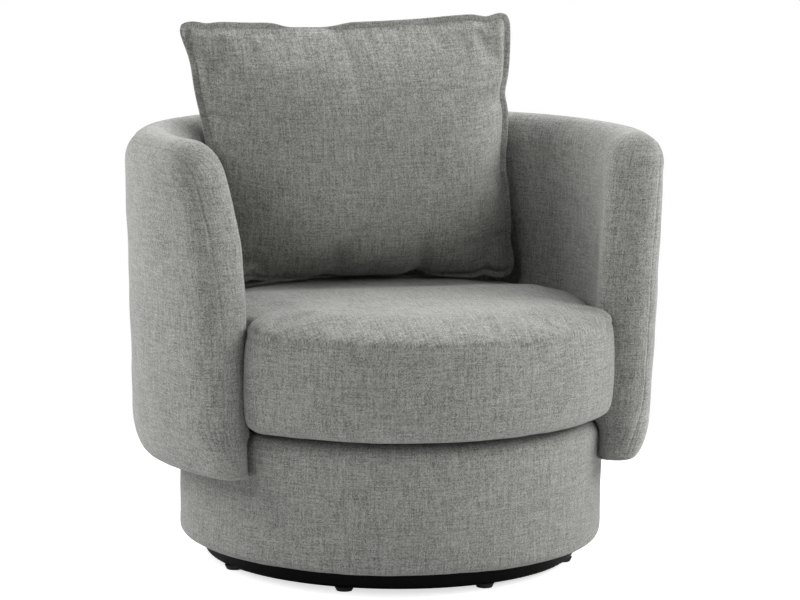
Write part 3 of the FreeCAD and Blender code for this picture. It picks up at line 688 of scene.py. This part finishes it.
def wall_at(z):
    """Outer and inner radius of the wall at height z, and how far the nose has curved back."""
    rim = max(0.0, z - (SHELL_TOP - CREST_HEIGHT)) / CREST_HEIGHT
    thin = quarter_ellipse(rim) * SHELL_WALL / 2
    roll = quarter_ellipse(max(0.0, SHELL_BOTTOM + ROLL_HEIGHT - z) / ROLL_HEIGHT) * ROLL_DEPTH
    under = max(0.0, SHELL_BOTTOM + SHELL_UNDER_EDGE - z) / SHELL_UNDER_EDGE
    edge = quarter_ellipse(under) * SHELL_UNDER_EDGE
    outer = shell_outer_r(z) - thin - roll - edge
    inner = shell_outer_r(z) - SHELL_WALL + thin
    if z < DRUM_TOP:
        above = max(0.0, z - (DRUM_TOP - DRUM_EDGE)) / DRUM_EDGE
        inner = max(inner, DRUM_R - DRUM_EDGE * quarter_ellipse(above) + DRUM_TOUCH)
    corner = max(0.0, z - (SHELL_TOP - NOSE_CORNER_HEIGHT)) / NOSE_CORNER_HEIGHT
    ahead = NOSE_LOW_REACH * max(0.0, min(1.0, (NOSE_LOW_TOP - z) / NOSE_LOW_FADE))
    back = quarter_ellipse(corner) * NOSE_CORNER_DEPTH + edge - ahead
    return outer, inner, back


def seam_turn(z, turns):
    """How far round the nose the outer panel's seam lies at height z; it meets the rim's seam."""
    crest = SHELL_TOP - CREST_HEIGHT
    towards_rim = max(0.0, z - crest) / (RIM_SEAM_Z - crest)
    return float(np.interp(z, *zip(*turns))) * (1 - quarter_ellipse(towards_rim))


def crowded(length, count, at_start):
    """Places along a length as shares, crowded where it meets a seam, without the last."""
    near = np.array(SEAM_ROWS) * min(1.0, length / 0.016) / max(length, 1e-9)
    far = np.linspace(near[-1], 1.0, count - len(near) + 2)[1:]
    shares = np.concatenate([near, far])
    if at_start:
        return shares[:-1]
    return (1 - shares[::-1])[:-1]


def half_outline(z, turns):
    """The wall's outline at height z, from the middle of the back round the right nose and back inside."""
    outer, inner, back = wall_at(z)
    middle = (outer + inner) / 2
    half = max((outer - inner) / 2, 0.0)
    tip = NOSE_ANGLE + math.degrees((back + half) / middle)
    seam = seam_turn(z, turns)

    def nose(turn):
        t = math.radians(turn)
        aside = math.copysign(abs(math.cos(t)) ** (2 / NOSE_SQUARENESS), math.cos(t))
        ahead = max(0.0, math.sin(t)) ** (2 / NOSE_SQUARENESS)
        forward = polar(half * ahead, tip - 90.0) - Vector((0, SWIVEL_Y, 0))
        return polar(middle + half * aside, tip, z) + forward

    line = [polar(outer, 180.0 + (tip - 180.0) * i / WALL_STEPS, z) for i in range(WALL_STEPS)]
    line += [nose(seam * share) for share in crowded(half * math.radians(seam), SHOULDER_STEPS, False)]
    inside_turn = 180.0 - seam
    line += [nose(seam + inside_turn * share)
             for share in crowded(half * math.radians(inside_turn), NOSE_STEPS, True)]
    line += [polar(inner, tip + (180.0 - tip) * i / WALL_STEPS, z) for i in range(WALL_STEPS + 1)]
    return line


def shell_row(z):
    """The wall's closed outline at height z, from the middle of the back round both noses."""
    left = half_outline(z, SEAM_LEFT)
    return half_outline(z, SEAM_RIGHT) + [Vector((-p.x, p.y, p.z)) for p in left[-2:0:-1]]


def shell_levels():
    """Heights of the rows: fine round the lower edge, the rim and its seam."""
    under = [SHELL_BOTTOM + SHELL_UNDER_EDGE * (1 - math.cos(math.radians(a))) for a in (0, 20, 40, 60, 80)]
    rolled_to = SHELL_BOTTOM + ROLL_HEIGHT
    rolled = [under[-1] + (rolled_to - under[-1]) * (i / 16) ** 1.2 for i in range(1, 17)]
    crest_from = SHELL_TOP - CREST_HEIGHT
    wall = [rolled_to + (crest_from - rolled_to) * i / 46 for i in range(1, 47)]
    crest = [crest_from + CREST_HEIGHT * math.sin(math.radians(a)) for a in range(4, 91, 4)]
    crest = [z for z in crest if abs(z - RIM_SEAM_Z) > 0.0055]
    by_seam = [RIM_SEAM_Z + sign * 0.75 * d for d in SEAM_ROWS for sign in (1, -1)]
    return sorted(set(under + rolled + wall + crest + by_seam + [SHELL_TOP]))


def closed_below(rows):
    """Rows that close the wall's underside: each point goes in to the middle of the wall."""
    outer, inner, back = wall_at(SHELL_BOTTOM)
    middle = (outer + inner) / 2
    tip = NOSE_ANGLE + math.degrees((back + (outer - inner) / 2) / middle)
    target = []
    for p in rows[0]:
        angle = math.degrees(math.atan2(abs(p.x), SWIVEL_Y - p.y))
        spot = polar(middle, max(tip, angle), SHELL_BOTTOM)
        target.append(Vector((math.copysign(spot.x, p.x), spot.y, spot.z)))
    return [[p.lerp(q, share) for p, q in zip(rows[0], target)] for share in (1.0, 0.6, 0.2)]


def from_shell_seams(grid, rim_row, seam_first, seam_last):
    """How far each point of the wall lies from the seams down both noses and along the rim."""
    steps = np.linalg.norm(np.roll(grid, -1, 1) - grid, axis=2)
    place = np.concatenate([np.zeros((len(grid), 1)), np.cumsum(steps, axis=1)], axis=1)[:, :-1]
    from_right = np.abs(place - place[:, seam_first:seam_first + 1])
    from_left = np.abs(place - place[:, seam_last:seam_last + 1])
    from_nose = np.minimum(from_right, from_left)
    from_nose[rim_row + 1:] = NO_SEAM
    climbs = np.linalg.norm(np.diff(grid, axis=0), axis=2)
    climb = np.concatenate([np.zeros((1, grid.shape[1])), np.cumsum(climbs, axis=0)])
    from_rim = np.abs(climb - climb[rim_row])
    from_rim[:, seam_first + 1:seam_last] = NO_SEAM
    return np.minimum(from_nose, from_rim)


def shell_softness(grid):
    """How free the wall's cloth is to move: not at its lower edge or at the drum, and less at the rim."""
    height = grid[:, :, 2]
    soft = np.clip((height - SHELL_BOTTOM - 0.004) / 0.02, 0.0, 1.0)
    soft = soft * np.clip((SHELL_TOP - height) / 0.012, 0.25, 1.0)
    reach = np.hypot(grid[:, :, 0], grid[:, :, 1] - SWIVEL_Y)
    by_drum = (height < DRUM_TOP + 0.03) & (reach < DRUM_R + 0.02)
    return np.where(by_drum, 0.0, soft)


def make_shell(fabric):
    """Two covers over one padded wall, drawn in along the seam that joins them."""
    levels = shell_levels()
    rows = [shell_row(z) for z in levels]
    below = closed_below(rows)
    levels = [SHELL_BOTTOM] * len(below) + levels
    grid = np.array([[tuple(p) for p in row] for row in below + rows])
    seam_first = WALL_STEPS + SHOULDER_STEPS
    seam_last = grid.shape[1] - seam_first
    rim_row = levels.index(RIM_SEAM_Z)

    from_seam = from_shell_seams(grid, rim_row, seam_first, seam_last)
    stand_out = slack_of(grid, SHELL_SLACK) + puckers_of(grid, from_seam, *SHELL_PUCKERS) - groove(from_seam)
    grid = grid - normals(grid) * (stand_out * shell_softness(grid))[..., None]

    along = [0.0]
    flat = grid[len(levels) // 2]
    for a, b in zip(flat, np.roll(flat, -1, 0)):
        along.append(along[-1] + float(np.linalg.norm(b - a)))
    lengths = np.concatenate([[0.0], np.cumsum(np.linalg.norm(np.diff(grid[:, 10], axis=0), axis=1))])

    def cloth(r, c):
        return along[c], lengths[r]

    def is_outer(r, c):
        return r < rim_row and (c < seam_first or c >= seam_last)

    outer = grid_mesh("shell_outer_upholstery", grid, cloth, closed=True, keep=is_outer)
    inner = grid_mesh("shell_inner_upholstery", grid, cloth, closed=True,
                      keep=lambda r, c: not is_outer(r, c))
    outer = upholster("shell_outer_upholstery", outer, fabric, "chair")
    inner = upholster("shell_inner_upholstery", inner, fabric, "chair")
    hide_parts("shell_outer_cover")
    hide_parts("shell_inner_cover", "shell_foam")


# Seat cushion

def seat_radius(angle, draw_in, corner_of):
    """Plan of the cushion: round in front, narrower where it passes between the arms."""
    front_angle, corner_angle, corner_reach = corner_of
    front_r = SEAT_FRONT_R - draw_in
    corner_r = corner_reach - draw_in
    back_r = SEAT_BACK_R - draw_in
    squeeze = math.degrees(draw_in / SEAT_BACK_R)
    front = front_angle - squeeze / 4
    corner = corner_angle - squeeze / 8
    if angle <= front:
        return front_r
    if angle <= corner:
        share = (angle - front) / (corner - front)
        return front_r + (corner_r - front_r) * share * share
    if angle <= SEAT_BACK_ANGLE:
        share = (angle - corner) / (SEAT_BACK_ANGLE - corner)
        return corner_r + (back_r - corner_r) * eased(share)
    return back_r


def held_up(height, share):
    """A height of the crown where the arms squeeze the cushion: fuller, by this share."""
    rise = SEAT_HEIGHT - SEAT_SEAM_HEIGHT
    risen = np.clip((height - SEAT_SEAM_HEIGHT) / rise, 0.0, 1.0)
    return height + share * (np.sqrt(risen) - risen) * rise


def pressed(y):
    """How far the cushion's top has given way under the pillow, from its front edge to the back."""
    return SEAT_DENT * eased(np.clip((y - SWIVEL_Y - SEAT_DENT_FROM) / SEAT_DENT_FADE, 0.0, 1.0))


def curve_through(points):
    """A fine smooth curve through (x, y) pairs, and the distance along it."""
    p = np.array(points, float)
    fine = refined(p[:, None, :].repeat(2, 1), 24, False)[:, 0]
    run = np.concatenate([[0], np.cumsum(np.hypot(*np.diff(fine, axis=0).T))])
    return fine, run


def seat_profile():
    """Draw-in and height from the underside to the crown, and the distances of its two seams."""
    rise = SEAT_HEIGHT - SEAT_SEAM_HEIGHT
    crown = [(draw_in, SEAT_SEAM_HEIGHT + share * rise) for draw_in, share in SEAT_CROWN]
    fine, run = curve_through(list(SEAT_BAND) + crown)
    top_seam, low_seam = (run[int(np.argmin(np.hypot(fine[:, 0] - draw_in, fine[:, 1] - height)))]
                          for draw_in, height in (SEAT_BAND[-1], SEAT_LOW_SEAM))
    return fine, run, top_seam, low_seam


def near_seams(end, step, seams):
    """Distances along a profile, a step apart and crowded at the seams."""
    clear = SEAM_ROWS[-1] + step / 2
    places = [p for p in np.arange(0, end, step) if all(abs(p - s) > clear for s in seams)]
    places += [s + sign * d for s in seams for d in SEAM_ROWS for sign in (1, -1)]
    return np.array(sorted(set(places + [end])))


def seat_grid(places, profile, columns):
    """The cushion's cover: a row at each of these distances along its profile, and columns all round."""
    fine, run = profile[:2]
    angles = [360.0 * c / columns for c in range(columns)]
    rows = []
    for draw_in, height in zip(np.interp(places, run, fine[:, 0]), np.interp(places, run, fine[:, 1])):
        radii = [seat_radius(min(a, 360.0 - a), draw_in, SEAT_CORNERS[a > 180.0]) for a in angles]
        rows.append([tuple(polar(r, a, SEAT_BOTTOM + height)) for r, a in zip(radii, angles)])
    return np.array(rows)


def seat_swelling(profile):
    """How far air in the cushion moves its cover, on a coarse grid whose seams are held."""
    end, top_seam, low_seam = profile[1][-1], profile[2], profile[3]
    low = np.linspace(0, low_seam, 6)[:-1]
    band = np.linspace(low_seam, top_seam, 17)[:-1]
    crown = np.linspace(top_seam, end, 26)
    places = np.concatenate([low, band, crown])
    columns = SWELLING_COLUMNS
    grid = seat_grid(places, profile, columns)
    high = len(places)
    points = list(grid.reshape(-1, 3))
    faces = [quad(r, c, columns) for r in range(high - 1) for c in range(columns)]
    points.append(np.array((0, SWIVEL_Y, grid[-1][0][2])))
    points.append(np.array((0, SWIVEL_Y, grid[0][0][2])))
    faces += [((high - 1) * columns + c, (high - 1) * columns + (c + 1) % columns, len(points) - 2)
              for c in range(columns)]
    faces += [((c + 1) % columns, c, len(points) - 1) for c in range(columns)]
    held_rows = [0, len(low), len(low) + len(band)]
    held = [r * columns + c for r in held_rows for c in range(columns)] + [len(points) - 1]
    settled = under_pressure(points, faces, held, pressure=4.0, frames=20)
    return places, capped(settled[:high * columns].reshape(grid.shape) - grid, SEAT_SWELL)


def spread(values, coarse, places, columns):
    """Values of a coarse grid round the cushion, at these places and columns of its fine grid."""
    count = values.shape[1]
    turns = np.arange(columns) * count / columns
    whole = np.floor(turns).astype(int)
    part = (turns - whole)[None, :, None]
    around = values[:, whole % count] * (1 - part) + values[:, (whole + 1) % count] * part
    row = np.interp(places, coarse, np.arange(len(coarse)))
    first = np.minimum(row.astype(int), len(coarse) - 2)
    part = (row - first)[:, None, None]
    return around[first] * (1 - part) + around[first + 1] * part


def make_seat(fabric):
    """A boxed cushion: side band, crowned top and underside, with the seams between them."""
    profile = seat_profile()
    end, top_seam, low_seam = profile[1][-1], profile[2], profile[3]
    places = near_seams(end, SEAT_STEP, (low_seam, top_seam))
    columns = SEAT_COLUMNS
    coarse, swelling = seat_swelling(profile)
    grid = seat_grid(places, profile, columns) + spread(swelling, coarse, places, columns)

    angles = np.arange(columns) * 360.0 / columns
    from_front = np.minimum(angles, 360.0 - angles)
    between_arms = eased(np.clip((from_front - SEAT_HELD_FROM) / SEAT_HELD_FADE, 0.0, 1.0))
    raised = SEAT_BOTTOM + held_up(grid[:, :, 2] - SEAT_BOTTOM, between_arms)
    grid[:, :, 2] = np.where(places[:, None] > top_seam, raised, grid[:, :, 2])

    from_top = np.abs(places - top_seam)[:, None]
    from_low = np.abs(places - low_seam)[:, None]
    soft = np.clip(places / 0.03, 0.0, 1.0)[:, None]
    drawn = groove(from_top) + groove(from_low, SEAM_DEPTH * 0.7)
    stand_out = slack_of(grid, SEAT_SLACK) + puckers_of(grid, from_top, *SEAT_PUCKERS) - drawn
    grid = grid + normals(grid) * (stand_out * soft)[..., None]
    grid[:, :, 2] -= pressed(grid[:, :, 1]) * np.clip((places - top_seam) / 0.05, 0.0, 1.0)[:, None]

    rows = list(grid)
    rows.insert(0, np.tile((0, SWIVEL_Y, SEAT_BOTTOM), (columns, 1)))
    rows.append(np.tile((0, SWIVEL_Y, rows[-1][:, 2].mean()), (columns, 1)))
    seam_row = 1 + int(np.argmin(from_top))

    def cloth(r, c):
        p = rows[r][c % columns]
        if 1 < r <= seam_row:
            return SEAT_FRONT_R * math.radians(360.0 * c / columns), float(places[r - 1])
        return float(p[0]) + SEAT_TOP_CLOTH, float(p[1])

    band = grid_mesh("seat_upholstery", rows, cloth, closed=True)
    layer = band.uv_layers[CLOTH_MAP].uv
    for polygon in band.polygons:
        r = polygon.vertices[0] // columns
        if 1 <= r < seam_row:
            continue
        for loop in polygon.loop_indices:
            p = band.vertices[band.loops[loop].vertex_index].co
            layer[loop].vector = (p.x + SEAT_TOP_CLOTH, p.y)
    seat = upholster("seat_upholstery", band, fabric, "seat_cushion")
    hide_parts("seat_cover", "seat_foam")
    return profile


# Pillow

def pillow_place(u, v, t):
    """From the pillow's own width, height and thickness to its place, leaning back."""
    lean = math.radians(PILLOW_LEAN)
    y = SWIVEL_Y + PILLOW_BACK + v * math.sin(lean) - t * math.cos(lean)
    z = PILLOW_MIDDLE + v * math.cos(lean) + t * math.sin(lean)
    return np.stack([u, y, z], -1)


def sewn_side(side, share):
    """Points along one side of the pillow's sewn edge, from its start corner to the next."""
    start = np.array(PILLOW_CORNERS[side])
    reach = np.array(PILLOW_CORNERS[(side + 1) % 4]) - start
    length = math.hypot(*reach)
    inward = np.array((-reach[1], reach[0])) / length
    drawn = PILLOW_BOWS[side] * (1 - (2 * share - 1) ** 2)
    for at_side, place, depth, wide in PILLOW_PUCKERS:
        if at_side == side:
            drawn = drawn + depth * np.exp(-((share - place) * length / wide) ** 2)
    return start + share[:, None] * reach + drawn[:, None] * inward


def flat_panel():
    """The pillow's panel: a grid of widths and heights, spread evenly inside the sewn edge."""
    s = np.linspace(0, 1, PANEL_COLUMNS + 1)
    t = np.linspace(0, 1, PANEL_ROWS + 1)
    low, high = sewn_side(0, s), sewn_side(2, s)[::-1]
    right, left = sewn_side(1, t), sewn_side(3, t)[::-1]
    s, t = s[None, :, None], t[:, None, None]
    grid = (1 - t) * low[None] + t * high[None] + (1 - s) * left[:, None] + s * right[:, None]
    at_corners = (1 - s) * (1 - t) * low[0] + s * (1 - t) * low[-1] + s * t * high[-1] + (1 - s) * t * high[0]
    grid = grid - at_corners
    a, b = 2 * s - 1, 2 * t - 1
    corner = (np.abs(a) * np.abs(b)) ** 18 * PILLOW_CORNER_R * (1 - math.sqrt(0.5))
    return grid - np.concatenate([np.sign(a) * corner, np.sign(b) * corner], 2)


def pillow_panels():
    """Front and back panel, sewn together and filled, as grids of width, height and thickness."""
    cut = flat_panel()
    a = np.linspace(-1, 1, PANEL_COLUMNS + 1)[None, :]
    b = np.linspace(-1, 1, PANEL_ROWS + 1)[:, None]
    dome = (1 - np.abs(a) ** 2.6) * (1 - np.abs(b) ** 2.6)
    start = np.where(dome > 0, 0.003 + 0.060 * dome * (1 - 0.15 * b), 0.0)
    high, wide = PANEL_ROWS + 1, PANEL_COLUMNS + 1
    index = np.arange(high * wide).reshape(high, wide)
    inner = dome > 0
    back_index = index.copy()
    back_index[inner] = high * wide + np.arange(inner.sum())
    front = np.concatenate([cut, start[..., None]], 2).reshape(-1, 3)
    points = np.vstack([front, front[index[inner]] * (1, 1, -1)])
    faces = []
    for r in range(high - 1):
        for c in range(wide - 1):
            around = ((r, c), (r, c + 1), (r + 1, c + 1), (r + 1, c))
            faces.append(tuple(int(index[at]) for at in around))
            faces.append(tuple(int(back_index[at]) for at in (around[0], around[3], around[2], around[1])))
    settled = under_pressure(points, faces, index[~inner], pressure=3.0, frames=16, ease=PILLOW_EASE)
    thickest = (settled[:, 2].max() - settled[:, 2].min()) / 2
    panels = []
    for grid in (settled[index], settled[back_index]):
        share = 1 - np.clip(1 - np.abs(grid[:, :, 2]) / thickest, 0.0, 1.0) ** PILLOW_FULLNESS
        grid[:, :, 2] = np.sign(grid[:, :, 2]) * share * PILLOW_THICKNESS / 2
        grid[:, :, 1] -= PILLOW_SAG * share
        panels.append(grid)
    return panels


def on_seat(points, profile):
    """Points of the pillow raised to the top of the cushion where they would sink into it."""
    fine, run, top_seam = profile[:3]
    crown = fine[run >= top_seam]
    reach = np.hypot(points[..., 0], points[..., 1] - SWIVEL_Y)
    height = held_up(np.interp(SEAT_BACK_R - reach, crown[:, 0], crown[:, 1]), 1.0)
    top = SEAT_BOTTOM + height + PILLOW_CLEARANCE - pressed(points[..., 1])
    sunk = np.maximum(top - points[..., 2], 0.0)
    moved = points.copy()
    moved[..., 2] += sunk
    moved[..., 1] -= sunk * 0.8
    return moved


def rim_of(panel):
    """The points along a panel's edge, once round."""
    return np.concatenate([panel[0, :-1], panel[:-1, -1], panel[-1, :0:-1], panel[:0:-1, 0]])


def out_of(rim):
    """Unit directions out of the pillow's edge in its own plane, smooth along it."""
    following = np.roll(rim, -1, 0) - np.roll(rim, 1, 0)
    for _ in range(6):
        following = (np.roll(following, 1, 0) + 2 * following + np.roll(following, -1, 0)) / 4
    out = np.stack([following[:, 1], -following[:, 0], following[:, 0] * 0], -1)
    return out / np.linalg.norm(out, axis=1, keepdims=True)


def flange_shown(run, high, wide):
    """The share of the flange that shows at each point of the edge: little where the panel swells over it."""
    first = np.cumsum((0, wide, high, wide, high))
    shown = np.ones(len(run) - 1)
    for side, place, far in PILLOW_SWELLS:
        middle = run[first[side]] + place * (run[first[side + 1]] - run[first[side]])
        shown -= 0.95 * np.exp(-((run[:-1] - middle) / far) ** 4)
    return shown


def pillow_flange(panel, profile):
    """The flat sewn edge: one section carried round the panel, curling up and down."""
    rim = rim_of(panel)
    step = np.linalg.norm(np.roll(rim, -1, 0) - rim, axis=1)
    run = np.concatenate([[0.0], np.cumsum(step)])
    out = out_of(rim) * flange_shown(run, panel.shape[0] - 1, panel.shape[1] - 1)[:, None]
    places = [Vector((p[0], p[1], 0)) / 0.045 + Vector((2.2, 5.1, 0.4)) for p in rim]
    wave = np.array([noise.noise(place) for place in places]) * FLANGE_WAVE
    section = FLANGE_SECTION + tuple((reach, -lift) for reach, lift in FLANGE_SECTION[::-1])
    strips = []
    for reach, lift in section:
        strip = rim + out * reach
        strip[:, 2] += lift + wave * max(0.0, reach) / PILLOW_FLANGE
        strips.append(on_seat(pillow_place(strip[:, 0], strip[:, 1], strip[:, 2]), profile))

    def cloth(r, c):
        return float(run[c]), section[r][0] * (1 if r < len(FLANGE_SECTION) else -1) + FLANGE_CLOTH

    return grid_mesh("pillow_flange", strips, cloth, closed=True)


def make_pillow(fabric, profile):
    """Two crowned panels sewn together inside a flat flange."""
    front, back = [refined(panel, REFINING, False) for panel in pillow_panels()]
    flat = refined(flat_panel(), REFINING, False)
    pieces = []
    for name, panel, side in (("front", front, 1), ("back", back, -1)):
        place = pillow_place(panel[:, :, 0], panel[:, :, 1], panel[:, :, 2] + side * PILLOW_SHOULDER)

        def cloth(r, c):
            return float(flat[r, c, 0]) + PILLOW_CLOTH + side, float(flat[r, c, 1])

        pieces.append(grid_mesh("pillow_" + name, on_seat(place, profile), cloth))
    pieces.append(pillow_flange(front, profile))
    whole = bmesh.new()
    for mesh in pieces:
        whole.from_mesh(mesh)
    mesh = bpy.data.meshes.new("pillow_upholstery")
    whole.to_mesh(mesh)
    whole.free()
    pillow = upholster("pillow_upholstery", mesh, fabric, "pillow")
    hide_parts("pillow_cover", "pillow_fill", "pillow_edge")


place_camera()
light_the_studio()
make_floor()

upholstery = woven_fabric("grey_upholstery", (0.115, 0.116, 0.109, 1), (0.388, 0.390, 0.369, 1))
pillow_cloth = woven_fabric("grey_pillow_fabric", (0.112, 0.113, 0.105, 1), (0.378, 0.380, 0.355, 1))
steel = painted_steel()
zinc = metal("zinc_plated_steel", (0.62, 0.63, 0.65), 0.34)
for node in ("base_ring", "base_arms"):
    dress(node, steel)
for node in ("lower_swivel_plate", "upper_swivel_plate", "centre_pivot", "base_bolts", "base_nuts",
             "swivel_screws", "shell_bolts", "shell_washers", "shell_inserts"):
    dress(node, zinc)
dress("swivel_balls", metal("ball_steel", (0.78, 0.79, 0.80), 0.12))
dress("ball_cage", plastic("cage_plastic", (0.80, 0.78, 0.70), 0.5))
dress("glides", plastic("glide_plastic", (0.012, 0.012, 0.012), 0.55))
plywood = wood("plywood", (0.42, 0.28, 0.15), (0.66, 0.50, 0.32))
for node in ("drum_bottom_board", "drum_ribs", "drum_deck_ring", "shell_bottom_rail", "shell_posts",
             "shell_top_rail"):
    dress(node, plywood)
hardboard = wood("hardboard", (0.24, 0.16, 0.09), (0.36, 0.25, 0.15))
for node in ("drum_side_board", "shell_inner_board", "shell_outer_board"):
    dress(node, hardboard)
strap_cloth = plain_cloth("webbing", (0.03, 0.03, 0.032), (0.10, 0.10, 0.11))
for node in ("webbing_front_to_back", "webbing_side_to_side"):
    dress(node, strap_cloth)
dress("deck_cloth", plain_cloth("deck_cloth", (0.035, 0.035, 0.036), (0.09, 0.09, 0.09)))
dress("dust_cover", plain_cloth("dust_cloth", (0.008, 0.008, 0.008), (0.03, 0.03, 0.03)))

make_drum(upholstery)
make_shell(upholstery)
seat_shape = make_seat(upholstery)
make_pillow(pillow_cloth, seat_shape)

bpy.context.scene.view_settings.view_transform = "Standard"
